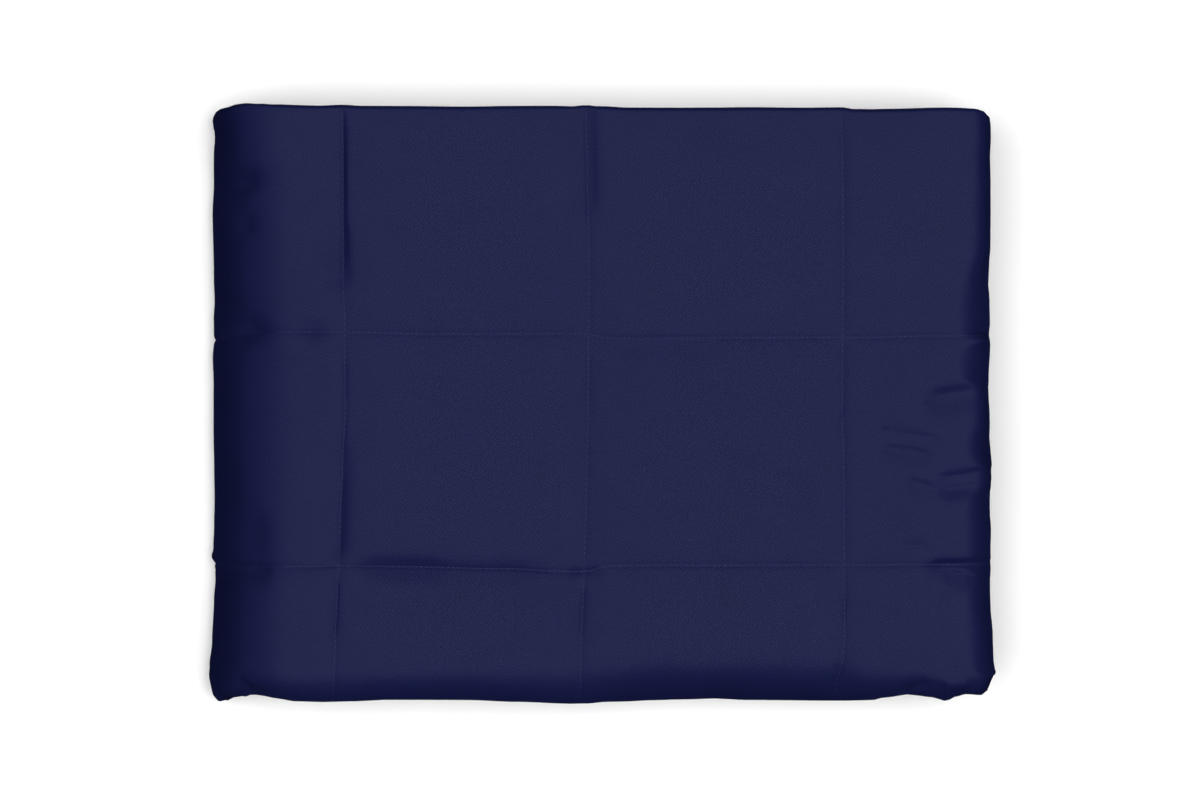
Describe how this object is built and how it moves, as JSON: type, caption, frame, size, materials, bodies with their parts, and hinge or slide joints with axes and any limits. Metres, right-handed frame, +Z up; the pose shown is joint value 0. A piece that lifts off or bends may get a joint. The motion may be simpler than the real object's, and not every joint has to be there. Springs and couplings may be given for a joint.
{
  "type": "weighted blanket",
  "caption": "Quilted weighted blanket in navy cotton twill, stitched in squares and folded into a flat rectangular stack that lies on a surface.",
  "frame": {"origin": "centre of the folded stack's footprint, on the surface it lies on", "axes": "+X along the stack's longer side, from the round half fold at -X to the side hems at +X; +Y across it, from the front hems to the crisp folds; +Z up through the layers"},
  "size_m": [0.4968, 0.3793, 0.0743],
  "materials": {
    "navy_twill": "matte cotton twill with a fine diagonal rib"
  },
  "bodies": {
    "root": {"blanket": "navy_twill"}
  },
  "joints": []
}
